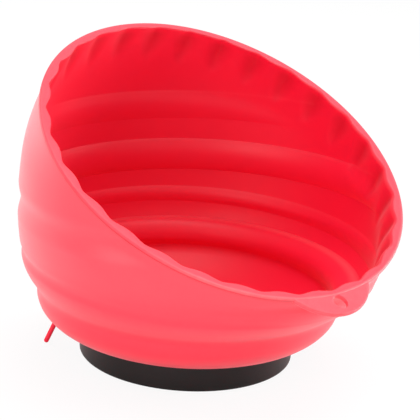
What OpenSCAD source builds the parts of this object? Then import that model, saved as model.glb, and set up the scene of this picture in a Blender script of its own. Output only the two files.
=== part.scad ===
// Magnetic parts tray: a flexible bellows bowl with a slanted mouth,
// turning on a round magnet base. Millimetres, +Z up, the low lip points to -Y.
// The origin is the centre of the base's standing face.

/* [Base] */
// Radius of the round base
base_r = 43.2; // [42.7:0.1:43.7]
// Height of the round base
base_h = 10.5; // [10.5:0.1:11]
// Wall of the base shell
shell_wall = 2.2; // [2:0.1:2.3]
// Skin under the magnet
shell_skin = 1.2; // [1:0.1:1.4]
// Round of the shell's lower edge
shell_edge = 1.1; // [0.6:0.1:1.1]

/* [Magnet] */
// Outer radius of the ring magnet
magnet_r = 36; // [33:0.5:37]
// Bore radius of the ring magnet
magnet_bore_r = 16; // [15:0.5:20]
// Thickness of the ring magnet
magnet_h = 5; // [4.8:0.1:5.2]
// Sheet thickness of the steel cup
cup_t = 1.8; // [1.4:0.1:2]
// Radius of the centre pole
pole_r = 13; // [11:0.5:14]

/* [Pivot] */
// Nominal screw radius
screw_r = 3; // [3:0.1:3.1]
// Length of the screw under its head
screw_len = 12; // [11.5:0.1:12.5]
// Outer radius of the sleeve that the bowl turns on
sleeve_r = 7; // [6.5:0.1:8]
// Radius of the washer inside the bowl
washer_r = 20; // [16:1:30]
// Thickness of that washer
washer_t = 1.5; // [1.2:0.1:1.8]

/* [Bowl] */
// Wall thickness of the bowl
wall_t = 2.4; // [2.2:0.1:2.8]
// Largest radius of the lowest tier
heel_r = 61.7; // [61.4:0.1:62]
// Half width of the lowest tier's rounded section
heel_wide = 21.4; // [21:0.1:21.8]
// Height of that section
heel_tall = 15.4; // [15.2:0.1:15.6]
// Largest radius of the wall
belly_r = 75.1; // [74.8:0.1:75.3]
// Height of the wall's largest radius
belly_z = 73; // [72:0.5:74]
// Draw-in of the wall at the top of the tall side
crown_drop = 17.2; // [16.8:0.1:17.6]
// How far the second tier leans towards the lip
lean_low = 7.3; // [7:0.1:7.6]
// How much further the upper wall leans
lean_high = 6.6; // [6.3:0.1:6.9]

/* [Folds] */
// Height of the fold above the lowest tier
fold_z = 28.3; // [28.2:0.1:28.5]
// Height at which the second tier meets the upper wall
shoulder_z = 45.6; // [45:0.1:46]
// How far the lower folds dip towards the lip
fold_dip = 4; // [3.6:0.1:4.2]
// Middle heights of the three inner beads
bead_z = [89, 66.2, 47];
// Half heights of these beads
bead_half = [6.4, 7, 3.3];
// How far these beads stand out of the wall
bead_out = [1.2, 2.2, 1.3];
// Depth of the outer groove behind each bead
groove_depth = [0, 1.3, 0.45];
// Height of the crease above the lowest, largest bead
shelf_z = 37.4; // [37:0.1:37.8]
// Inner radius of that bead's nose
nose_r = 56.3; // [56:0.1:56.6]
// Height of the nose
nose_z = 29.6; // [29.3:0.1:29.8]

/* [Rim] */
// Outer radius of the rim
rim_r = 75; // [74.5:0.1:75.5]
// Thickness of the rim
rim_t = 2.6; // [2.4:0.1:3]
// Slant of the mouth
rim_tilt = 30.9; // [30.5:0.1:31.3]
// Height of the rim's centre
rim_z = 88.4; // [88:0.1:89]
// Shift of the rim's centre towards the lip
rim_shift = 18.4; // [18:0.1:18.8]
// Scallops round the inner edge of the rim
scallops = 30; // [24:2:36]
// Radius of the points between scallops
cusp_r = 71.2; // [71:0.1:71.4]
// How far each scallop swells inwards
scallop_depth = 1.2; // [0.8:0.1:1.6]

/* [Hang tab] */
// Radius of the half-moon tab
tab_r = 20.5; // [20:0.5:22]
// Reach of the tab from the rim's centre
tab_reach = 83; // [82.5:0.1:84]
// Thickness of the tab
tab_t = 2.2; // [2:0.1:2.4]
// Radius of the hanging hole
hole_r = 2.8; // [2.5:0.1:3]
// Distance of the hole from the rim's centre
hole_reach = 77.8; // [77.4:0.1:78.2]

/* [Rear feet] */
// Radius of the two prop feet
foot_r = 1; // [0.8:0.1:1.2]
// Angle of each foot from the lip
foot_angle = 127; // [120:1:135]
// Radius at which a foot ends
foot_tip_r = 56.7; // [56:0.1:58]
// Radius at which a foot leaves the bowl
foot_root_r = 51.6; // [51:0.1:53]

/* [Hidden] */
$fn = 96;

running_gap = 0.05;
turning_gap = 0.3;
seat_gap = 0.1;
magnet_z = shell_skin;
cup_z = magnet_z + magnet_h;
cup_h = 2;
cup_r = base_r - shell_wall - 0.2;
lid_z = cup_z + cup_h;
lid_r = base_r - shell_wall - seat_gap;
bowl_z = base_h + turning_gap;
floor_z = bowl_z + wall_t;
washer_z = floor_z + turning_gap;
screw_hole_r = screw_r + 0.2;
nut_h = 3.2;
nut_flats = 10;
head_r = 5.25;
head_h = 3.3;
socket_flats = 4;
socket_depth = 2;

heel_axis_r = heel_r - heel_wide;
heel_axis_z = bowl_z + heel_tall;
root_r = heel_r - 1.5;
flare_r = 62.6;
flare_power = 0.7;
lean_start = 1.2;
lean_power = 0.5;
lean_span = 66;
crown_span = 53.4;
crown_power = 2.6;
waist_drop = 2.5;
waist_span = 23;
dip_z = 46;
dip_below = 17;
dip_above = 13;
dip_level = 0.53;
under_rim_r = 73.3;
brow_r = 71.6;
blend_span = 26;
root_span = 12;
bead_fade = 9;
crown_z = 126;
nose_shift = 1.2;
nose_dip = 1.2;
nose_under = 1.2;
nose_drop = 2;
root_rise = 0.9;
squeeze = 0.12;
wall_sides = 72;

// A point on a circle of radius r about (x, y)
function arc_point(x, y, r, a) = [x + r * cos(a), y + r * sin(a)];

// A smooth hump of the given half width
function hump(d, half) = abs(d) >= half ? 0 : pow(cos(90 * d / half), 2);
// A smooth step from 0 to 1
function ease(t) = let (s = max(0, min(1, t))) s * s * (3 - 2 * s);

// How far up the second tier a height lies, from 0 to 1
function tier_part(z) = max(0, min(1, (z - fold_z) / (shoulder_z - fold_z)));

// How far the wall has moved towards the lip at a height
function lean(z) = lean_start + (lean_low - lean_start) * pow(tier_part(z), lean_power)
    + lean_high * sin(90 * max(0, min(1, (z - shoulder_z) / lean_span)));

// Radius of the upper wall at a height
function belly(z) = z > belly_z
    ? belly_r - crown_drop * pow((z - belly_z) / crown_span, crown_power)
    : belly_r - waist_drop * pow((belly_z - z) / waist_span, 2);

// Radius of the wall at a height, before grooves and beads
function wall_r(z) = z > shoulder_z ? belly(z)
    : flare_r + (belly(shoulder_z) - flare_r) * pow(tier_part(z), flare_power);

// True height of a line of the wall at an angle from the lip: lower folds dip towards the lip
function line_z(z, a) = z - fold_dip * hump(z - dip_z, z > dip_z ? dip_above : dip_below) * (cos(a) + dip_level);

// Depth of the outer grooves at a height
function groove(z) = groove_depth[1] * hump(z - bead_z[1], bead_half[1]) + groove_depth[2] * hump(z - bead_z[2], bead_half[2]);

// How far the beads stand out of the inner wall at a height
function bead(z, i) = let (t = (z - bead_z[i]) / bead_half[i]) abs(t) >= 1 ? 0 : bead_out[i] * sqrt(1 - t * t);
function swell(z) = bead(z, 0) + bead(z, 1) + bead(z, 2);

// A point of the slanted rim's frame
function rim_point(a, r, up) = let (y = -r * cos(a)) [
    r * sin(a),
    -rim_shift + y * cos(rim_tilt) - up * sin(rim_tilt),
    rim_z + y * sin(rim_tilt) + up * cos(rim_tilt)];

// A column of the wall that ends in the rim at radius r: its angle from the lip, its top and its misfit there
function column(a, r, inset) = let (p = rim_point(a, r, -rim_t / 2), reach = -p[1] - lean(p[2]))
    [atan2(p[0], reach), p[2], norm([p[0], reach]) - wall_r(p[2]) + inset];

// A point on a level circle, at an angle from the lip
function ring_point(a, r, z, shift = 0) = [r * sin(a), -shift - r * cos(a), z];

// A point of the wall on a line, held under the rim by at least the given room
function wall_point(c, z, inset, room) = let (
    h = min(line_z(z, c[0]), c[1] - room),
    r = wall_r(h) + c[2] * ease(1 - (c[1] - h) / blend_span) * ease((h - fold_z) / root_span) - inset)
    ring_point(c[0], r, h, lean(h));

module in_rim_frame() {
    translate([0, -rim_shift, rim_z]) rotate([rim_tilt, 0, 0]) children();
}

// Floor and rounded lowest tier
module heel() {
    outer_arc = [for (a = [-90:7.5:0]) [heel_axis_r + heel_wide * cos(a), heel_axis_z + heel_tall * sin(a)]];
    top = [[heel_r - 0.15, heel_axis_z + 1], [heel_r - 0.5, heel_axis_z + 1.8], [root_r + 0.4, heel_axis_z + 2.4], [root_r - 0.6, heel_axis_z + 2.6]];
    inner_arc = [for (a = [0:-7.5:-90]) [heel_axis_r + (heel_wide - wall_t) * cos(a), heel_axis_z + (heel_tall - wall_t) * sin(a)]];
    floor_edge = [[sleeve_r + running_gap, floor_z], [sleeve_r + running_gap, bowl_z]];
    rotate_extrude() polygon(concat(outer_arc, top, inner_arc, floor_edge));
}

// Leaning bellows wall from the fold up into the rim: rows of points up the outside, then down the inside
module wall() {
    turns = [for (i = [0:wall_sides - 1]) 360 * i / wall_sides];
    outer = [for (a = turns) column(a, under_rim_r, 0)];
    inner = [for (a = turns) column(a, brow_r, wall_t)];
    flare_rows = [for (rise = [0, 0.25, 0.8, 1.8, 3.7, 6.7, 10.7]) fold_z + rise];
    groove_rows = [for (t = [-1, -0.6, -0.3, 0, 0.3, 0.6, 1]) bead_z[1] + t * bead_half[1]];
    shoulder_rows = [for (t = [-1, 0, 1]) bead_z[2] + t * bead_half[2]];
    bead_rows = [for (i = [0:2]) [for (t = [1, 0.92, 0.6, 0, -0.6, -0.92, -1]) bead_z[i] + t * bead_half[i]]];
    plain_z = [78, 54];
    outer_z = concat(flare_rows, shoulder_rows, [plain_z[1]], groove_rows, [for (z = [plain_z[0]:6:crown_z]) z]);
    inner_z = concat([for (z = [crown_z:-5:100]) z], bead_rows[0], [plain_z[0]], bead_rows[1], [plain_z[1]], bead_rows[2], [shelf_z + 2.4]);
    nose_turn = [90:-15:0];
    rows = concat(
        [[for (c = outer) ring_point(c[0], root_r, fold_z - root_rise)]],
        [for (i = [0:len(outer_z) - 1]) [for (c = outer) wall_point(c, outer_z[i], groove(outer_z[i]), (len(outer_z) - 1 - i) * squeeze)]],
        [for (i = [0:len(inner_z) - 1]) [for (c = inner) wall_point(c, inner_z[i], wall_t + swell(inner_z[i]) * ease((c[1] - inner_z[i]) / bead_fade), i * squeeze)]],
        [for (t = nose_turn) [for (c = inner) let (
            crease = wall_point(c, shelf_z, wall_t, 0),
            tip = ring_point(c[0], nose_r, nose_z - nose_dip * cos(c[0]), nose_shift))
            [tip[0] + (crease[0] - tip[0]) * (1 - cos(t)), tip[1] + (crease[1] - tip[1]) * (1 - cos(t)), tip[2] + (crease[2] - tip[2]) * sin(t)]]],
        [[for (c = inner) ring_point(c[0], nose_r + nose_under, nose_z - 2 * nose_under - nose_dip * cos(c[0]), nose_shift)]],
        [[for (c = inner) ring_point(c[0], root_r, heel_axis_z - nose_drop)]]);
    faces = [for (i = [0:len(rows) - 1], j = [0:wall_sides - 1]) let (
        k = (j + 1) % wall_sides, a = i * wall_sides, b = (i + 1) % len(rows) * wall_sides)
        each [[a + j, b + j, b + k], [a + j, b + k, a + k]]];
    polyhedron([for (row = rows) each row], faces);
}

// Flat rim with a scalloped inner edge
module rim() {
    half = 180 / scallops;
    half_chord = cusp_r * sin(half);
    swell_r = (pow(half_chord, 2) + pow(scallop_depth, 2)) / (2 * scallop_depth);
    swell_axis = cusp_r * cos(half) - scallop_depth + swell_r;
    in_rim_frame() translate([0, 0, -rim_t]) linear_extrude(rim_t) difference() {
        circle(r = rim_r);
        difference() {
            circle(r = cusp_r);
            for (i = [0:scallops - 1])
                rotate(-90 + half + i * 2 * half) translate([swell_axis, 0]) circle(r = swell_r);
        }
    }
}

// Half-moon tab with the hanging hole
module hang_tab() {
    in_rim_frame() translate([0, 0, 0.1 - rim_t]) linear_extrude(tab_t) difference() {
        translate([0, tab_r - tab_reach]) circle(r = tab_r);
        circle(r = rim_r - 1);
        translate([0, -hole_reach]) circle(r = hole_r);
    }
}

// A thin round foot that props the tall side, clear of the ground
module rear_foot() {
    tip_z = foot_r + 0.4;
    root_z = bowl_z + 2.6;
    length = norm([foot_tip_r - foot_root_r, root_z - tip_z]);
    splay = atan2(foot_tip_r - foot_root_r, root_z - tip_z);
    tip = [for (a = [-75:15:0]) arc_point(0, 0, foot_r, a)];
    translate([foot_tip_r, 0, tip_z]) rotate([0, -splay, 0])
        rotate_extrude() polygon(concat([[0, -foot_r * sin(75)]], tip, [[foot_r, length], [0, length]]));
}

module bowl() {
    color([0.93, 0.16, 0.2]) {
        heel();
        wall();
        rim();
        hang_tab();
        for (side = [-1, 1]) rotate(-90 + side * foot_angle) rear_foot();
    }
}

module base_shell() {
    edge = [for (a = [-90:15:0]) arc_point(base_r - shell_edge, shell_edge, shell_edge, a)];
    inside_r = base_r - shell_wall;
    profile = concat(edge, [[base_r, base_h], [inside_r, base_h], [inside_r, shell_skin], [0, shell_skin], [0, 0]]);
    color([0.13, 0.13, 0.13]) rotate_extrude() polygon(profile);
}

module steel_cup() {
    color([0.62, 0.64, 0.66]) difference() {
        translate([0, 0, magnet_z]) cylinder(h = magnet_h + cup_h, r = cup_r);
        translate([0, 0, magnet_z - 1]) cylinder(h = magnet_h + 1, r = cup_r - cup_t);
        translate([0, 0, cup_z - 1]) cylinder(h = cup_h + 2, r = screw_hole_r);
    }
}

module ring_magnet() {
    color([0.25, 0.25, 0.26]) translate([0, 0, magnet_z]) difference() {
        cylinder(h = magnet_h, r = magnet_r);
        translate([0, 0, -1]) cylinder(h = magnet_h + 2, r = magnet_bore_r);
    }
}

module hex(flats, h) {
    cylinder(h = h, r = flats / 2 / cos(30), $fn = 6);
}

module centre_pole() {
    color([0.58, 0.6, 0.62]) difference() {
        translate([0, 0, magnet_z]) cylinder(h = magnet_h, r = pole_r);
        translate([0, 0, cup_z - nut_h - seat_gap]) hex(nut_flats + 2 * seat_gap, nut_h + 1);
    }
}

module lock_nut() {
    color([0.75, 0.74, 0.68]) translate([0, 0, cup_z - nut_h]) difference() {
        hex(nut_flats, nut_h);
        translate([0, 0, -1]) cylinder(h = nut_h + 2, r = screw_r + running_gap);
    }
}

module base_lid() {
    color([0.16, 0.16, 0.16]) translate([0, 0, lid_z]) difference() {
        cylinder(h = base_h - lid_z, r = lid_r);
        translate([0, 0, -1]) cylinder(h = base_h, r = sleeve_r + seat_gap);
    }
}

module pivot_sleeve() {
    color([0.7, 0.71, 0.72]) translate([0, 0, lid_z]) difference() {
        cylinder(h = washer_z - lid_z, r = sleeve_r);
        translate([0, 0, -1]) cylinder(h = base_h, r = screw_hole_r);
    }
}

module clamp_washer() {
    color([0.76, 0.77, 0.78]) translate([0, 0, washer_z]) difference() {
        cylinder(h = washer_t, r = washer_r);
        translate([0, 0, -1]) cylinder(h = washer_t + 2, r = screw_hole_r);
    }
}

// Button head screw with a hexagon socket
module centre_screw() {
    head_z = washer_z + washer_t;
    dome_r = (pow(head_r, 2) + pow(head_h, 2)) / (2 * head_h);
    color([0.72, 0.73, 0.75]) {
        difference() {
            intersection() {
                translate([0, 0, head_z]) cylinder(h = head_h + 1, r = head_r);
                translate([0, 0, head_z + head_h - dome_r]) sphere(r = dome_r);
            }
            translate([0, 0, head_z + head_h - socket_depth]) hex(socket_flats, socket_depth + 1);
        }
        translate([0, 0, head_z - screw_len]) cylinder(h = screw_len + 0.5, r = screw_r);
    }
}

bowl();
base_shell();
steel_cup();
ring_magnet();
centre_pole();
lock_nut();
base_lid();
pivot_sleeve();
clamp_washer();
centre_screw();
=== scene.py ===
# %% [markdown]
# # A magnetic parts tray
# A red rubber bowl with a slanted mouth turns on a round black magnet base.
# The packed CAD model is the fixed frame: every piece below is placed in it,
# in metres, with the standing face at zero height and the low lip towards -Y.
# The folds of the soft bowl could be painted on its plain solid with a bump texture,
# but its outline would stay plain, so a detailed moulding replaces that solid.
# The base, washer and screw are hard parts and keep their CAD shapes.

# %% Load the packed model
from collections import namedtuple
import bmesh
import bpy
import numpy as np
from mathutils import Matrix, Vector


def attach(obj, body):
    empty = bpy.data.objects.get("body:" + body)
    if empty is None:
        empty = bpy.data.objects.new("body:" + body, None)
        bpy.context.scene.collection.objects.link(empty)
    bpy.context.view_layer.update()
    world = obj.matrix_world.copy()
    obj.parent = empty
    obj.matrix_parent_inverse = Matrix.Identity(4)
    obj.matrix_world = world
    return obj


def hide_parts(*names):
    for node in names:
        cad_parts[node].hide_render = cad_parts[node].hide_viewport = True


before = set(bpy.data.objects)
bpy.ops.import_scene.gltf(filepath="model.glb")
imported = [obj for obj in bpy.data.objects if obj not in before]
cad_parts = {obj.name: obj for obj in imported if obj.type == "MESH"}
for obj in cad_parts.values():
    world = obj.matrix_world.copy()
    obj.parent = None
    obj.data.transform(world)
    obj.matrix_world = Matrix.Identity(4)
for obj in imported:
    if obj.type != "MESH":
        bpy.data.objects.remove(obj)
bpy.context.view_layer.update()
scene = bpy.context.scene
scene.view_settings.view_transform = "Standard"
mm = 0.001

# %% [markdown]
# ## Camera
# The photograph looks down at the tray from the front left. A camera could be moved
# by eye until the picture fits. Here its place and direction were worked out from
# circles that must be round on the real object, the base and the rim, because an
# error of a degree shows there first. The image is a little rolled, so the up
# direction is given as well.

# %% Place the camera
eye = Vector((-0.3397, -0.4110, 0.2187))
ahead = Vector((0.6196, 0.7311, -0.2855)).normalized()
rolled_up = Vector((0.1369, 0.2575, 0.9565))
right = ahead.cross(rolled_up).normalized()
upward = right.cross(ahead)
turned = Matrix((right, upward, -ahead)).transposed().to_4x4()
lens_data = bpy.data.cameras.new("photo_lens")
lens_data.lens = 120
lens_data.sensor_width = 36
camera = bpy.data.objects.new("photo_camera", lens_data)
camera.matrix_world = Matrix.Translation(eye) @ turned
scene.collection.objects.link(camera)
scene.camera = camera
print("camera", [round(v, 3) for v in eye])

# %% [markdown]
# ## Writing shader sums
# A procedural finish is a small calculation at each point of a surface. Adding nodes
# one by one hides the sum, so a wire stands for a socket here, and plain Python
# signs add the Math nodes. Any other node comes from the wire's add method, which
# takes the node's type, its settings, its sockets and the output that is wanted.
# A Mix node keeps its two colours at sockets 6 and 7, and the mixed colour at 2.

# %% A socket that can be used in sums
class Wire:
    def __init__(self, tree, socket=None):
        self.tree = tree
        self.socket = socket

    def add(self, kind, settings, sockets, out=0):
        node = self.tree.nodes.new(kind)
        for name, value in settings.items():
            setattr(node, name, value)
        for name, value in sockets.items():
            if isinstance(value, Wire):
                self.tree.links.new(value.socket, node.inputs[name])
            else:
                node.inputs[name].default_value = value
        return Wire(self.tree, node.outputs[out] if len(node.outputs) else None)

    def maths(self, operation, first, second):
        return self.add("ShaderNodeMath", {"operation": operation}, {0: first, 1: second})

    def __add__(self, other):
        return self.maths("ADD", self, other)

    def __mul__(self, other):
        return self.maths("MULTIPLY", self, other)

    __radd__ = __add__
    __rmul__ = __mul__

    def mixed(self, low, high):
        return self.add("ShaderNodeMix", {"data_type": "RGBA"}, {0: self, 6: low, 7: high}, 2)

    def noise(self, place, scale, detail, rough=0.5):
        sockets = {"Vector": place, "Scale": scale, "Detail": detail, "Roughness": rough}
        return self.add("ShaderNodeTexNoise", {}, sockets)

    def bump(self, height, strength, distance):
        sockets = {"Height": height, "Strength": strength, "Distance": distance}
        return self.add("ShaderNodeBump", {}, sockets)

    def mask(self, name):
        return self.add("ShaderNodeAttribute", {"attribute_name": name}, {}, "Fac")


print("wire with", len([name for name in vars(Wire) if callable(getattr(Wire, name))]), "methods")

# %% [markdown]
# ## Starting and closing a finish
# Each finish is a material of its own with an empty node tree. Its noise is read at
# the object's own coordinates, because an unwrapped picture would show seams on a
# round bowl, and the object's coordinates move with the piece.

# %% Begin and end of a finish
def new_finish(name):
    finish = bpy.data.materials.new(name)
    finish.use_nodes = True
    finish.node_tree.nodes.clear()
    wire = Wire(finish.node_tree)
    place = wire.add("ShaderNodeTexCoord", {}, {}, "Object")
    return finish, wire, place


def close_finish(wire, surface):
    wire.add("ShaderNodeOutputMaterial", {}, {"Surface": surface})


print("finishes can be made")

# %% [markdown]
# ## Red rubber
# The bowl is one satin silicone moulding. It is a deep, clean red inside, where red
# walls light each other, and paler outside, where the skin throws back white light and a
# painted sheen adds to it. One flat colour would look like paint, so the colour is a sum:
# a faint cloudiness, a painted shade, a deeper red in the scoops and under the rim, and a
# painted sheen, a pale pink that a dusty noise breaks up, on the outer wall, rim, tab and
# bead tops. A fine moulded grain roughens the skin, and a soft coat makes the outer wall a
# little smoother. Painted shade, painted sheen and coat come from masks that the mesh code
# stores on the points, so they follow the real shape.

# %% Finish of the bowl
rubber, wire, place = new_finish("red_rubber_skin")
cloud = wire.noise(place, scale=28, detail=3)
grain = wire.noise(place, scale=2600, detail=2)
dust = wire.noise(place, scale=420, detail=4, rough=0.65)
dark_red = (0.74, 0.003, 0.030, 1)
light_red = (0.80, 0.005, 0.036, 1)
# Painted shade: a deeper red where shade falls in the scoops and under the rim.
painted_shade_red = (0.50, 0.001, 0.012, 1)
# Painted sheen: a pale pink where white light would pale the skin.
painted_sheen_pink = (0.92, 0.13, 0.145, 1)
sheen_tint = (1, 0.92, 0.93, 1)
painted_shade_share = 0.65
coat_share = 0.8
plain_red = cloud.mixed(dark_red, light_red)
body_red = (painted_shade_share * wire.mask("painted_shade")).mixed(plain_red, painted_shade_red)
painted_sheen_amount = wire.mask("painted_sheen") * (0.35 + 0.5 * dust)
skin = wire.add("ShaderNodeBsdfPrincipled", {}, {
    "Base Color": painted_sheen_amount.mixed(body_red, painted_sheen_pink),
    "Roughness": 0.40 + 0.10 * dust + 0.05 * cloud,
    "Normal": wire.bump(grain, strength=0.10, distance=0.0003),
    "Coat Weight": coat_share * wire.mask("polished"),
    "Coat Roughness": 0.5,
    "Specular IOR Level": 0.38,
    "Sheen Weight": 0.12,
    "Sheen Roughness": 0.4,
    "Sheen Tint": sheen_tint})
close_finish(wire, skin)
print("finish", rubber.name)

# %% [markdown]
# ## The bowl's main lines
# All lengths are in millimetres, as in the CAD source. The bowl has a round heel, a
# fold above it, a tier that flares out to a shoulder, and a belly that draws in again
# towards the top. It could be pulled into shape by hand from a cylinder. Written as
# functions of height, every line stays even and one value moves it.

# %% Heights and radii
bowl_z = 10.8
wall_t = 2.4
heel_r = 61.1
heel_tall = 15.4
heel_axis_r = 40.3
heel_wide = heel_r - heel_axis_r
heel_axis_z = bowl_z + heel_tall
fold_z = 28.3
flare_r = 60.9
flare_power = 0.95
shoulder_z = 45.6
belly_r = 75.1
belly_z = 73.0
crown_draw = 17.2
crown_span = 53.4
crown_power = 2.6
waist_draw = 2.5
waist_span = 23


def smooth(t):
    t = np.clip(t, 0, 1)
    return t * t * (3 - 2 * t)


def hump(away, half):
    return np.where(np.abs(away) < half, np.cos(np.clip(away / half, -1, 1) * np.pi / 2) ** 2, 0)


def belly(z):
    crown = crown_draw * np.clip((z - belly_z) / crown_span, 0, None) ** crown_power
    waist = waist_draw * np.clip((belly_z - z) / waist_span, 0, None) ** 2
    return belly_r - crown - waist


def tier_part(z):
    part = np.clip((z - fold_z) / (shoulder_z - fold_z), 0, 1)
    return np.sin(part ** flare_power * np.pi / 2)


def wall_radius(z):
    flare = flare_r + (belly(shoulder_z) - flare_r) * tier_part(z)
    return np.where(z < shoulder_z, flare, belly(z))


print("wall at the belly", round(float(wall_radius(np.array(belly_z))), 1), "mm")

# %% [markdown]
# ## Lean and dip
# The wall is round at every height, but its centre moves towards the lip on the way
# up, which makes the bowl lean. The lower folds aren't quite level either: they dip
# towards the lip. Shearing the finished mesh would tilt the floor as well, so each
# movement has a function of height, and the floor stays flat.

# %% How far the wall leans and its lines dip
heel_lean = 1.2
tier_lean = 6.1
tier_lean_power = 0.8
belly_lean = 6.6
belly_lean_span = 66
dip_z = 46.0
dip_deep = 4.0
dip_above = 13.0
dip_below = 17.0


def lean(z):
    risen = np.sin(np.clip((z - shoulder_z) / belly_lean_span, 0, 1) * np.pi / 2)
    return heel_lean + tier_lean * tier_part(z) ** tier_lean_power + belly_lean * risen


def dip(line):
    return dip_deep * hump(line - dip_z, np.where(line > dip_z, dip_above, dip_below))


print("lean at the belly", round(float(lean(np.array(belly_z))), 1), "mm")

# %% [markdown]
# ## The slanted rim
# The mouth is a flat ring cut across the bowl at 31 degrees, with thirty shallow
# scallops along its inner edge. A boolean cut could make it, but would leave ragged
# faces. Instead the columns of the mesh start under this ring, twelve to a scallop,
# so that every point between two scallops falls on a column, and run down the wall
# from there. On the tall side the scallops drift a little, and the columns with them.

# %% Columns of the mesh
rim_r = 74.8
rim_t = 1.7
rim_tilt = np.radians(30.9)
rim_z = 88.4
rim_shift = 18.4
under_rim_r = 73.3
scallops = 30
per_scallop = 12
columns = scallops * per_scallop
scallop_drift = np.radians(1.6)
even = np.arange(columns) * 2 * np.pi / columns
around = even + scallop_drift * (1 - np.cos(even))


def rim_point(angle, radius, up):
    y = -radius * np.cos(angle)
    return np.stack([
        radius * np.sin(angle),
        -rim_shift + y * np.cos(rim_tilt) - up * np.sin(rim_tilt),
        rim_z + y * np.sin(rim_tilt) + up * np.cos(rim_tilt)], axis=-1)


def in_rim(points):
    y = points[:, 1] + rim_shift
    z = points[:, 2] - rim_z
    across = y * np.cos(rim_tilt) + z * np.sin(rim_tilt)
    up = z * np.cos(rim_tilt) - y * np.sin(rim_tilt)
    return np.arctan2(points[:, 0], -across), np.hypot(points[:, 0], across), up


under_rim = rim_point(around, under_rim_r, -rim_t)
top_z = under_rim[:, 2]
toward_lip = -(under_rim[:, 1] + lean(top_z))
wall_angle = np.arctan2(under_rim[:, 0], toward_lip)
mend = np.hypot(under_rim[:, 0], toward_lip) - wall_radius(top_z)
print("columns", columns)
print("wall mended by", round(float(mend.min()), 2), "to", round(float(mend.max()), 2), "mm")

# %% [markdown]
# ## Beads and grooves
# The bowl can be squashed because its wall is a bellows. Inside, three round beads run
# along the wall, with a crease above and below each. Outside, the lower two show as
# shallow grooves. Beads could be rings laid on the wall, but a moulding has no seams,
# so each is a swelling of the wall's thickness. It fades into the wall near the rim.

# %% Profile of beads and grooves
Bead = namedtuple("Bead", "middle half swell power start span")
beads = [
    Bead(middle=89.0, half=6.4, swell=1.1, power=1.1, start=20.0, span=14.0),
    Bead(middle=66.2, half=7.0, swell=2.0, power=0.9, start=7.0, span=14.0),
    Bead(middle=47.0, half=3.6, swell=0.9, power=1.3, start=4.0, span=12.0)]
Groove = namedtuple("Groove", "middle half deep")
grooves = [Groove(middle=66.2, half=7.0, deep=1.2), Groove(middle=46.0, half=3.5, deep=0.7)]
brow_t = 2.6
brow_fade = 25


def outer_dip(z):
    return sum(groove.deep * hump(z - groove.middle, groove.half) for groove in grooves)


def inner_swell(z):
    total = 0
    for bead in beads:
        profile = np.clip(1 - ((z - bead.middle) / bead.half) ** 2, 0, 1) ** bead.power
        total = total + bead.swell * profile * smooth((top_z - z - bead.start) / bead.span)
    return total


def inner_inset(z):
    depth = top_z + rim_t - z
    thick = wall_t + (brow_t - wall_t) * (1 - smooth(depth / brow_fade))
    return thick + inner_swell(z)


print("beads at", [bead.middle for bead in beads], "mm")

# %% [markdown]
# ## Scoops under the rim
# Thirty scoops are pressed into the inner wall, one below each point between two
# scallops. A displacement texture could press them in, but it needs very fine faces
# to keep their edges. They run square to the slanted rim, not straight down, so each
# is worked out in the rim's own frame, and a square root rounds the edge where a
# scoop runs out into the wall.

# %% Depth of the scoops
scoop_depth = 1.55
scoop_reach = 18.0
scoop_power = 2.6
scoop_point = 0.3
scoop_soft = 0.02


def scoop(angle, depth):
    steady = angle - scallop_drift * (1 - np.cos(angle))
    phase = steady * scallops / (2 * np.pi) % 1 * 2 - 1
    wave = scoop_point * phase ** 2 + (1 - scoop_point) * (0.5 - 0.5 * np.cos(np.pi * phase))
    cut = scoop_depth * (wave - (np.clip(depth, 0, None) / scoop_reach) ** scoop_power)
    return 0.5 * (cut + np.sqrt(cut ** 2 + scoop_soft))


print("scoops", scallops, "of", scoop_depth, "mm")

# %% [markdown]
# ## Rings of the wall
# A ring is one row of points round the bowl. The leaning wall and the slanted rim are
# described apart and miss each other by a millimetre or two, so the wall is mended by
# that much towards its top. It is also tucked in a little under the rim, at both sides
# of the lip. Moving single points by hand could do the same, but not evenly.

# %% Rings from the functions
dip_balance = 0.53
mend_fade = 26
mend_rise = 12
tuck_deep = 1.6
tuck_turn = 50
tuck_spread = 40
tuck_under = 8
tuck_half = 14
tuck = tuck_deep * hump(np.abs(np.degrees(wall_angle)) - tuck_turn, tuck_spread)


def line_height(line):
    return line - dip(line) * (np.cos(wall_angle) + dip_balance)


def wall_ring(line, inset, room=None):
    line = np.broadcast_to(line, (columns,)).astype(float)
    held = line if room is None else np.minimum(line, top_z - room)
    z = line if room is None else np.minimum(line_height(line), top_z - room)
    fading = smooth(1 - (top_z - z) / mend_fade) * smooth((z - fold_z) / mend_rise)
    tucked = tuck * hump(top_z - z - tuck_under, tuck_half)
    radius = wall_radius(z) + mend * fading - tucked - inset(held)
    x = radius * np.sin(wall_angle)
    y = -lean(z) - radius * np.cos(wall_angle)
    return np.stack([x, y, z], axis=-1)


def inner_ring(line, room=None):
    ring = wall_ring(line, inner_inset, room)
    angle, _, up = in_rim(ring)
    out = scoop(angle, -up)
    ring[:, 0] += out * np.sin(wall_angle)
    ring[:, 1] -= out * np.cos(wall_angle)
    return ring


def level_ring(radius, z, shift=0.0):
    z = np.broadcast_to(z, (columns,)).astype(float)
    return np.stack([radius * np.sin(wall_angle), -shift - radius * np.cos(wall_angle), z], axis=-1)


print("tuck of up to", round(float(tuck.max()), 1), "mm")

# %% [markdown]
# ## Rows under the bowl and up the outside
# The moulding is one closed skin. Its rows start at the hole in the floor, run out
# under the bowl, up the outside, over the rim, down the inside and back to the hole.
# Each row is laid with its share of painted sheen and of painted shade, a deeper red.
# A row that would pass the rim is held just below it.

# %% Outside rows
rows = []
painted_sheen = []
painted_shade_rows = []
hub_r = 7.05
margin = 6.0
# Painted sheen on the heel and outer wall, where white light would pale the skin.
outer_sheen = 0.18
fold_r = 60.8
under_fold_z = 27.1
wall_end_z = 126
line_step = 0.8


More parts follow.
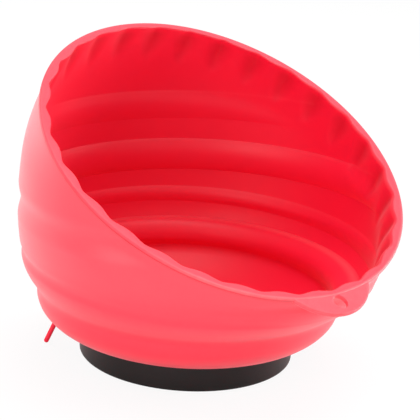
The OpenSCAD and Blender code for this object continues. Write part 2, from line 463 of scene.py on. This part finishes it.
# Each row keeps its share of painted sheen and of painted shade.
def lay(ring, sheen_share=0.0, painted_shade=0.0):
    rows.append(ring)
    painted_sheen.append(np.broadcast_to(sheen_share, (columns,)))
    painted_shade_rows.append(np.broadcast_to(painted_shade, (columns,)))


for radius in (hub_r, 12, 20, 30, heel_axis_r):
    lay(level_ring(radius, bowl_z))
heel_turns = np.concatenate([np.arange(-84, -30, 6), np.arange(-30, 1, 3)])
for angle in np.radians(heel_turns):
    reach = heel_axis_r + heel_wide * np.cos(angle)
    lay(level_ring(reach, heel_axis_z + heel_tall * np.sin(angle)), outer_sheen)
lay(level_ring(fold_r, under_fold_z), outer_sheen)
fold_row = len(rows)
for line in np.arange(fold_z, wall_end_z, line_step):
    lay(wall_ring(line, outer_dip, margin), outer_sheen)
print("outside rows", len(rows))

# %% [markdown]
# ## The soft fold
# Heel and tier meet in a fold, which is soft on rubber. A bevel or a smoothing
# modifier could round it, but would blur the whole wall. So only the rows next to the
# fold are averaged with their neighbours, a few times over.

# %% Soften the fold
fold_reach = 8
fold_passes = 6
for _ in range(fold_passes):
    band = np.stack(rows[fold_row - fold_reach - 1:fold_row + fold_reach + 2])
    softened = (band[:-2] + 2 * band[1:-1] + band[2:]) / 4
    rows[fold_row - fold_reach:fold_row + fold_reach + 1] = list(softened)
print("fold softened over", 2 * fold_reach + 1, "rows")

# %% [markdown]
# ## The rim and its edges
# The ring stands a little proud of the wall, with rounded edges that catch a line of
# light, and a painted shade, a deeper red line, under it and on its outer side. A bevel
# modifier could round the edges, but it would bevel the scallops too, so they are laid as
# rows on small quarter circles. A painted sheen lies on the upper edge, palest on the low
# lip. The smooth outer skin ends just short of the rim.

# %% Rows up to the rim and over its outer edge
rim_edge = 0.55
rim_step = 0.15
rim_shade = 0.8
shade_depth = 2
bare_rows = 3
rim_sheen = 0.45
lip_sheen = 0.7
lip_shade = 0.2
lip_start = 0.45
lip_span = 0.35
low_lip = smooth((np.cos(around) - lip_start) / lip_span)


def fading_dip(z):
    return outer_dip(z) * smooth((top_z - z) / margin)


for depth in (5, 4, 3, 2, 1.2, 0.6, 0.25, 0):
    # Painted shade: a deeper red line grows towards the rim, under its overhang.
    away = smooth(depth / shade_depth)
    lay(wall_ring(top_z - depth, fading_dip), outer_sheen * away, rim_shade * (1 - away))
coated_rows = len(rows) - bare_rows
# Painted shade on the rim's underside and outer side, a little less at the low lip.
for radius in (under_rim_r + rim_step, rim_r - rim_edge):
    lay(rim_point(around, radius, -rim_t), 0, 1)
for angle in np.radians((-60, -30, 0)):
    reach = rim_r - rim_edge + rim_edge * np.cos(angle)
    up = -rim_t + rim_edge + rim_edge * np.sin(angle)
    lay(rim_point(around, reach, up), 0, 1 - lip_shade * low_lip)
# Painted sheen on the rim's upper edge, palest at the low lip.
for angle in np.radians((0, 30, 60, 90)):
    reach = rim_r - rim_edge + rim_edge * np.cos(angle)
    up = -rim_edge + rim_edge * np.sin(angle)
    lay(rim_point(around, reach, up), rim_sheen + lip_sheen * low_lip)
print("rows up to the rim's top", len(rows))

# %% [markdown]
# ## The rim's top and inner edge
# The flat top runs in to the scalloped edge, which is called the brow here. Cutting
# the scallops into the ring would leave a step to the scooped wall below, so the brow
# is taken from that wall, and wall and ring meet.

# %% Rows over the top and the brow
brow_drop = 0.75
brow_edge = 0.6
top_sheen = 0.34
brow_sheen = 0.36
brow_angle, brow_r, brow_up = in_rim(inner_ring(top_z + rim_t - brow_drop))
# Painted sheen on the rim's flat top and its brow.
for share in (0.3, 0.65):
    reach = (rim_r - rim_edge) * (1 - share) + (brow_r + brow_edge) * share
    lay(rim_point(brow_angle, reach, 0.0), top_sheen)
for angle in np.radians((90, 60, 30, 0)):
    reach = brow_r + brow_edge - brow_edge * np.cos(angle)
    lay(rim_point(brow_angle, reach, brow_up * (1 - np.sin(angle))), brow_sheen)
print("rows with the brow", len(rows))

# %% [markdown]
# ## Rows down the inside
# Evenly spaced rows would cut the beads' creases at random heights and blunt them.
# So the rows are even only on the plain wall. On a bead they close up towards its two
# creases, and one more row is laid just outside each crease. A trace of painted highlight
# marks the top of a bead, and painted shade darkens the scoops.

# %% Inside rows
inside_start = 125.5
inside_end = 39
inside_step = 1.25
bead_clear = 0.4
crease_gap = 0.2
crest_drop = 0.5
crest_half = 0.9
crest_highlight = 0.1
scoop_shade_start = 1
scoop_shade_span = 3


def lay_inside(line, room=None, sheen_share=0.0):
    ring = inner_ring(line, room)
    angle, _, up = in_rim(ring)
    # Painted shade: the scoops get the deeper red, in step with their depth.
    scooped = np.clip(scoop(angle, -up) / scoop_depth, 0, 1)
    lay(ring, sheen_share, scooped * smooth((-up - scoop_shade_start) / scoop_shade_span))


for depth in (1.6, 2.6, 3.8, 5.2, 6.4, 7.5):
    lay_inside(top_z + rim_t - depth)
inside_lines = np.arange(inside_start, inside_end, -inside_step)
bead_steps = np.sin(np.radians(np.arange(-90, 91, 9)))
for bead in beads:
    plain = np.abs(inside_lines - bead.middle) > bead.half + bead_clear
    creases = bead.middle + (bead.half + crease_gap) * np.array([-1, 1])
    bead_lines = bead.middle + bead.half * bead_steps
    inside_lines = np.concatenate([inside_lines[plain], bead_lines, creases])
for line in sorted(inside_lines, reverse=True):
    # Painted highlight along the top crease of each bead.
    crest = max(hump(line - bead.middle - bead.half + crest_drop, crest_half) for bead in beads)
    lay_inside(line, margin, crest_highlight * crest)
print("rows with the inner wall", len(rows))

# %% [markdown]
# ## The lowest bead and the floor
# Low down, the deepest fold makes a broad round bead inside the bowl, with its nose over
# the floor. A ring laid there would show a seam. The bead joins the leaning wall to the
# round heel, so its rows are blended from the one circle to the other. A painted highlight
# runs along the bead just under its crease. Under the nose the skin slopes down into the
# flat floor and faces up, so it looks pale from above.

# %% Lowest bead, nose and floor rows
nose_r = 56.3
nose_shift = 1.2
nose_dip = 1.2
nose_middle_z = 29.6
nose_z = nose_middle_z - nose_dip * np.cos(wall_angle)
# Painted highlight: a pale line along the bead's upper part.
nose_glint = 0.5
glint_turn = 78
glint_half = 16
under_nose = [(0.03, 0.8), (0.12, 1.6), (0.3, 2.3), (0.55, 3.0), (0.8, 3.7), (0.95, 4.4)]
nose_end = under_nose[-1][0]
slope_wide = 17.4
slope_power = 1.5
crease_z = 37.4
crease = inner_ring(crease_z, margin)
for line in (38.6, 37.9, 37.6):
    lay(inner_ring(line, margin))
for angle in np.radians((90, 88, 84, 78, 71, 63, 54, 44, 33, 22, 11, 0)):
    ring = level_ring(nose_r, nose_z, nose_shift)
    ring[:, :2] += (crease[:, :2] - ring[:, :2]) * (1 - np.cos(angle))
    ring[:, 2] += (crease[:, 2] - ring[:, 2]) * np.sin(angle)
    lay(ring, nose_glint * hump(np.degrees(angle) - glint_turn, glint_half))
for out, down in under_nose:
    lay(level_ring(nose_r + out, nose_z - down, nose_shift * (1 - out / nose_end)))
for angle in np.radians(np.arange(20, 91, 5)):
    reach = heel_axis_r + slope_wide * np.cos(angle) ** slope_power
    lay(level_ring(reach, heel_axis_z - (heel_tall - wall_t) * np.sin(angle) ** slope_power))
for radius in (32, 24, 16, 10, hub_r):
    lay(level_ring(radius, bowl_z + wall_t))
print("all rows", len(rows))

# %% [markdown]
# ## From rows to faces
# Neighbouring rows are joined by four-sided faces, and the last row is joined to the
# first, which closes the skin. Blender's bridge tool could join them too, but plain
# counting keeps every face in a known place.

# %% Join the rows
def grid_faces(row_count, column_count, first=0):
    joined = []
    for row in range(row_count):
        here = first + row * column_count
        after = first + (row + 1) % row_count * column_count
        for column in range(column_count):
            beside = (column + 1) % column_count
            joined.append((here + column, here + beside, after + beside, after + column))
    return joined


points = np.concatenate(rows)
sheen_share = np.concatenate(painted_sheen)
painted_shade = np.concatenate(painted_shade_rows)
faces = grid_faces(len(rows), columns)
print("points", len(points), "faces", len(faces))

# %% [markdown]
# ## Outline of the hanging tab
# A half-moon tab with a round hole stands out from the rim at the low lip. It is about
# as thick as the rim, and its top is nearly flush with it. A boolean could cut the
# hole, but its edge couldn't be rounded cleanly then. So the tab's columns turn round
# the hole, and this cell measures how far each can go before it meets the half-moon's
# edge or the rim.

# %% Reach of the tab
tab_r = 21.3
tab_axis = 61.9
hole_r = 2.8
hole_reach = 77.8
tab_overlap = 0.9
tab_columns = 144
no_limit = 1000
tab_turn = np.arange(tab_columns) * 2 * np.pi / tab_columns


def reach_to_circle(middle, radius, side):
    along = np.cos(tab_turn) * (hole_reach - middle)
    inside = along ** 2 - (hole_reach - middle) ** 2 + radius ** 2
    far = -along + side * np.sqrt(np.clip(inside, 0, None))
    return np.where((inside > 0) & (far > 0), far, no_limit)


half_moon = reach_to_circle(tab_axis, tab_r, 1)
rim_limit = reach_to_circle(0, rim_r - tab_overlap, -1)
outline = np.minimum(half_moon, rim_limit)
print("tab reaches", round(float(outline.max()), 1), "mm from its hole")

# %% [markdown]
# ## Rows of the tab
# The rows run up the hole's wall, out over the top to the rounded edge, and back
# underneath, so the tab is a closed ring of skin like the bowl itself. The tab carries a
# painted sheen, a little stronger on the edge than on the face.

# %% Tab rows
tab_top = -0.12
tab_low = -1.9
tab_edge = 0.5
hole_edge = 0.4
# Painted sheen on the tab, stronger on its rounded edge.
tab_sheen = 0.65
edge_sheen = 0.85
tab_rows = []
tab_sheen_rows = []


def lay_tab(distance, up, paleness=tab_sheen):
    x = distance * np.sin(tab_turn)
    reach = hole_reach + distance * np.cos(tab_turn)
    tab_rows.append(rim_point(np.arctan2(x, reach), np.hypot(x, reach), up))
    tab_sheen_rows.append(paleness)


def tab_bend(turns, middle, up, radius, paleness=tab_sheen):
    for angle in np.radians(turns):
        lay_tab(middle + radius * np.cos(angle), up + radius * np.sin(angle), paleness)


def tab_face(shares, up):
    for share in shares:
        lay_tab(hole_r + hole_edge + (outline - tab_edge - hole_r - hole_edge) * share, up)


tab_bend((180, 150, 120, 90), hole_r + hole_edge, tab_top - hole_edge, hole_edge)
tab_face((0.15, 0.35, 0.6, 0.85), tab_top)
tab_bend((90, 60, 30, 0), outline - tab_edge, tab_top - tab_edge, tab_edge, edge_sheen)
tab_bend((0, -30, -60, -90), outline - tab_edge, tab_low + tab_edge, tab_edge)
tab_face((0.85, 0.5, 0.15), tab_low)
tab_bend((-90, -120, -150, -180), hole_r + hole_edge, tab_low + hole_edge, hole_edge)
faces += grid_faces(len(tab_rows), tab_columns, len(points))
points = np.concatenate([points] + tab_rows)
sheen_share = np.concatenate([sheen_share, np.repeat(tab_sheen_rows, tab_columns)])
print("tab rows", len(tab_rows))

# %% [markdown]
# ## The prop feet
# Two thin rods under the tall side keep the tray from tipping back. Each is a round
# rod with a domed end that leans outwards. A cylinder primitive has no dome, so the rod
# is laid in rings along its axis like the rest, with its root buried in the heel. The
# feet stay just clear of the bench, so that the bowl can turn.

# %% Feet rows
foot_r = 1.0
foot_sides = 20
foot_swing = 127
foot_clear = 0.4
tip_reach = 56.7
root_reach = 51.6
root_rise = 2.6
foot_turn = np.arange(foot_sides) * 2 * np.pi / foot_sides
dome = [(np.cos(a), np.sin(a)) for a in np.radians((-75, -55, -35, -15, 0))]
foot_long = 14.2
cap_r = 0.03
shaft = [(1, step) for step in (3, 6, 9, 12, foot_long)]
foot_profile = [(cap_r, -0.999)] + dome + shaft + [(cap_r, foot_long)]
for side in (-1, 1):
    heading = np.radians(-90 + side * foot_swing)
    out = np.array([np.cos(heading), np.sin(heading), 0])
    tip = tip_reach * out + np.array([0, 0, foot_r + foot_clear])
    root = root_reach * out + np.array([0, 0, bowl_z + root_rise])
    along = (root - tip) / np.linalg.norm(root - tip)
    aside = np.cross(along, (0, 0, 1))
    aside /= np.linalg.norm(aside)
    across = np.cross(along, aside)
    circle = np.outer(np.cos(foot_turn), aside) + np.outer(np.sin(foot_turn), across)
    rod = [tip + along * step * foot_r + wide * foot_r * circle for wide, step in foot_profile]
    faces += grid_faces(len(rod), foot_sides, len(points))
    points = np.concatenate([points] + rod)
    sheen_share = np.concatenate([sheen_share, np.zeros(len(rod) * foot_sides)])
print("points with tab and feet", len(points))

# %% [markdown]
# ## Masks for the finish
# The rubber's finish asks where the skin carries painted sheen, painted shade or a coat.
# Painting those by hand would have to be done again after each change of shape, so the
# rows have kept their own values, which are stored on the points here. The coat fades on the heel.

# %% Mesh and masks
coat_low = 0.45
coat_gain = 0.55
coat_z = 38
coat_span = 14
bowl_mesh = bpy.data.meshes.new("bowl_moulding")
bowl_mesh.from_pydata((points * mm).tolist(), [], faces)


def store_mask(name, values):
    filled = np.pad(values, (0, len(points) - len(values)))
    mask = bowl_mesh.attributes.new(name, "FLOAT", "POINT")
    mask.data.foreach_set("value", filled.astype(np.float32))


coated_z = points[:coated_rows * columns, 2]
# Painted sheen: where the finish mixes in the pale pink.
store_mask("painted_sheen", sheen_share)
store_mask("polished", coat_low + coat_gain * smooth((coated_z - coat_z) / coat_span))
# Painted shade: where the finish mixes in the deeper red.
store_mask("painted_shade", painted_shade)
print("masks", [mask.name for mask in bowl_mesh.attributes if mask.data_type == "FLOAT"])

# %% [markdown]
# ## Closing the moulding
# Rows that were held at the rim can share a place, which leaves faces without area.
# A remesh would clear them, but lose the clean rows, so only those points are merged.
# Every edge must then belong to two faces, which is counted. The moulding rides on the
# turning bowl and replaces its plain solid.

# %% Make the bowl's object
merge_gap = 2e-6
least_edge = 1e-6
shell = bmesh.new()
shell.from_mesh(bowl_mesh)
bmesh.ops.remove_doubles(shell, verts=shell.verts, dist=merge_gap)
bmesh.ops.dissolve_degenerate(shell, edges=shell.edges, dist=least_edge)
bmesh.ops.recalc_face_normals(shell, faces=shell.faces)
open_edges = sum(1 for seam in shell.edges if len(seam.link_faces) != 2)
shell.to_mesh(bowl_mesh)
shell.free()
bowl_mesh.shade_smooth()
bowl_piece = bpy.data.objects.new("bowl_moulding", bowl_mesh)
scene.collection.objects.link(bowl_piece)
bowl_mesh.materials.append(rubber)
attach(bowl_piece, "bowl")
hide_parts("bowl")
print("bowl faces", len(bowl_mesh.polygons), "open edges", open_edges)

# %% [markdown]
# ## Black base
# The base is a satin black moulding that rubs on benches. Pure black would swallow its
# shape, so its colour is nearly black with a warm cast, its gloss changes a little
# from place to place, and a fine grain breaks up the reflections.

# %% Finish of the base
black, wire, place = new_finish("black_shell_skin")
patches = wire.noise(place, scale=60, detail=4)
speckle = wire.noise(place, scale=1800, detail=2)
dark_coal = (0.005, 0.0044, 0.0042, 1)
light_coal = (0.008, 0.0072, 0.0068, 1)
close_finish(wire, wire.add("ShaderNodeBsdfPrincipled", {}, {
    "Base Color": patches.mixed(dark_coal, light_coal),
    "Roughness": 0.30 + 0.08 * patches,
    "Normal": wire.bump(speckle, strength=0.08, distance=0.0002),
    "Specular IOR Level": 0.3}))
print("finish", black.name)

# %% [markdown]
# ## Turned stainless
# Inside the bowl a stainless washer and button screw hold the rubber floor down. Both
# are turned parts with fine rings round the axis. Anisotropic shine could stand for
# them, but the export drops it where it changes, so the rings are a fine bump: a
# sine of the distance from the axis.

# %% Finish of washer and screw
stainless, wire, place = new_finish("turned_stainless")
ring_rate = 6000
level = wire.add("ShaderNodeVectorMath", {"operation": "MULTIPLY"}, {0: place, 1: (1, 1, 0)})
from_axis = wire.add("ShaderNodeVectorMath", {"operation": "LENGTH"}, {0: level}, "Value")
rings = wire.maths("SINE", from_axis * ring_rate, 0)
smear = wire.noise(place, scale=180, detail=4)
dark_steel = (0.52, 0.52, 0.51, 1)
light_steel = (0.66, 0.66, 0.65, 1)
close_finish(wire, wire.add("ShaderNodeBsdfPrincipled", {}, {
    "Base Color": smear.mixed(dark_steel, light_steel),
    "Roughness": 0.22 + 0.16 * smear,
    "Normal": wire.bump(rings, strength=0.06, distance=0.00005),
    "Metallic": 1.0}))
print("finish", stainless.name)

# %% [markdown]
# ## Zinc plate and ferrite
# The pot, pole, nut and sleeve inside the base are zinc plated, which looks cloudy. The
# ring magnet is a dull ground ferrite with small pores. Nobody sees them in the closed
# tray, but a part that is taken apart should still look right, so each gets a simple
# noise for its colour, gloss and bump.

# %% Finishes inside the base
zinc, wire, place = new_finish("zinc_plate")
paleness = wire.noise(place, scale=120, detail=5)
dark_zinc = (0.44, 0.45, 0.46, 1)
light_zinc = (0.62, 0.63, 0.63, 1)
close_finish(wire, wire.add("ShaderNodeBsdfPrincipled", {}, {
    "Base Color": paleness.mixed(dark_zinc, light_zinc),
    "Roughness": 0.30 + 0.2 * paleness,
    "Normal": wire.bump(paleness, strength=0.1, distance=0.0001),
    "Metallic": 1.0}))
ferrite, wire, place = new_finish("ground_ferrite")
pores = wire.noise(place, scale=900, detail=4, rough=0.7)
dark_ferrite = (0.035, 0.035, 0.038, 1)
light_ferrite = (0.075, 0.075, 0.08, 1)
close_finish(wire, wire.add("ShaderNodeBsdfPrincipled", {}, {
    "Base Color": pores.mixed(dark_ferrite, light_ferrite),
    "Roughness": 0.55 + 0.2 * pores,
    "Normal": wire.bump(pores, strength=0.3, distance=0.0002)}))
print("finishes", zinc.name, ferrite.name)

# %% [markdown]
# ## Dressing the CAD parts
# The hard parts keep the meshes of the CAD model, which are exact. New meshes would
# only risk a gap, so each part just gets the finish of what it is made of.

# %% Give each part its finish
finish_of = {
    "base_shell": black, "base_lid": black,
    "clamp_washer": stainless, "centre_screw": stainless,
    "steel_cup": zinc, "centre_pole": zinc, "lock_nut": zinc, "pivot_sleeve": zinc,
    "ring_magnet": ferrite}
for node, finish in finish_of.items():
    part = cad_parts[node]
    part.data.materials.clear()
    part.data.materials.append(finish)
print("dressed", len(finish_of), "nodes")

# %% [markdown]
# ## Floor
# The photograph is a bright studio picture on white. More light would bleach the bowl,
# so the floor is a wide pale sheet that mixes its own shading with plain white for
# camera rays: the page stays white and still shows where the tray stands. Glossy and
# transmitted rays see a smaller share of that white, or the underside would glow.

# %% White sheet
floor_half = 4.0
corners = [(-1, -1), (1, -1), (1, 1), (-1, 1)]
floor_mesh = bpy.data.meshes.new("studio_floor")
floor_mesh.from_pydata([(floor_half * x, floor_half * y, 0) for x, y in corners], [], [(0, 1, 2, 3)])
floor = bpy.data.objects.new("studio_floor", floor_mesh)
scene.collection.objects.link(floor)
sheet, wire, _ = new_finish("white_sheet")


def rays(wire, kind):
    return wire.add("ShaderNodeLightPath", {}, {}, kind)


page_share = 0.9
mirror_share = 0.2
mirrored = rays(wire, "Is Glossy Ray") + rays(wire, "Is Transmission Ray")
white_page = page_share * rays(wire, "Is Camera Ray") + mirror_share * mirrored
paper = wire.add("ShaderNodeBsdfDiffuse", {}, {"Color": (0.86, 0.86, 0.86, 1)})
glow = wire.add("ShaderNodeEmission", {}, {"Color": (1, 1, 1, 1), "Strength": 1.0})
close_finish(wire, wire.add("ShaderNodeMixShader", {}, {0: white_page, 1: paper, 2: glow}))
floor_mesh.materials.append(sheet)
print("floor", 2 * floor_half, "m wide")

# %% [markdown]
# ## Light from all round
# A studio's white walls light an object softly from every side. A picture of a studio
# could stand for them, but plain white does the same for a matt bowl. Rays that show
# the background see full white, and the light on the tray is a little lower.

# %% White world
world = bpy.data.worlds.new("studio")
scene.world = world
world.use_nodes = True
world.node_tree.nodes.clear()
wire = Wire(world.node_tree)
shown = rays(wire, "Is Camera Ray") + rays(wire, "Is Glossy Ray") + rays(wire, "Is Transmission Ray")
room_light = 0.6
strength = room_light + (1 - room_light) * wire.maths("MINIMUM", shown, 1)
surround = wire.add("ShaderNodeBackground", {}, {"Color": (1, 1, 1, 1), "Strength": strength})
wire.add("ShaderNodeOutputWorld", {}, {"Surface": surround})
print("world", world.name)

# %% [markdown]
# ## Lamps
# Four large, weak lamps shape the bowl: one low on each side draws the pale edges of
# the wall, one behind lifts the tall side, and one overhead lights the floor of the
# bowl. A sun would cast hard shadows, which the photograph doesn't have.

# %% Four soft lamps
def soft_lamp(name, place, aim, size, power):
    data = bpy.data.lights.new(name, "AREA")
    data.size = size
    data.energy = power
    lamp = bpy.data.objects.new(name, data)
    lamp.location = place
    lamp.rotation_euler = (Vector(aim) - Vector(place)).to_track_quat("-Z", "Y").to_euler()
    scene.collection.objects.link(lamp)


soft_lamp("left_lamp", place=(-1.1, -0.42, 0.3), aim=(0, 0, 0.05), size=0.8, power=8)
soft_lamp("right_lamp", place=(1.05, -0.45, 0.22), aim=(0, 0, 0.05), size=0.7, power=16)
soft_lamp("back_lamp", place=(-0.4, 1.1, 0.45), aim=(0, 0, 0.05), size=0.7, power=6)
soft_lamp("over_lamp", place=(0.15, -0.1, 1.2), aim=(0, 0, 0.06), size=0.9, power=12)
print("lamps", len(bpy.data.lights))

# %% [markdown]
# ## Sizes
# A moulding that grew past its solid would no longer fit the part.
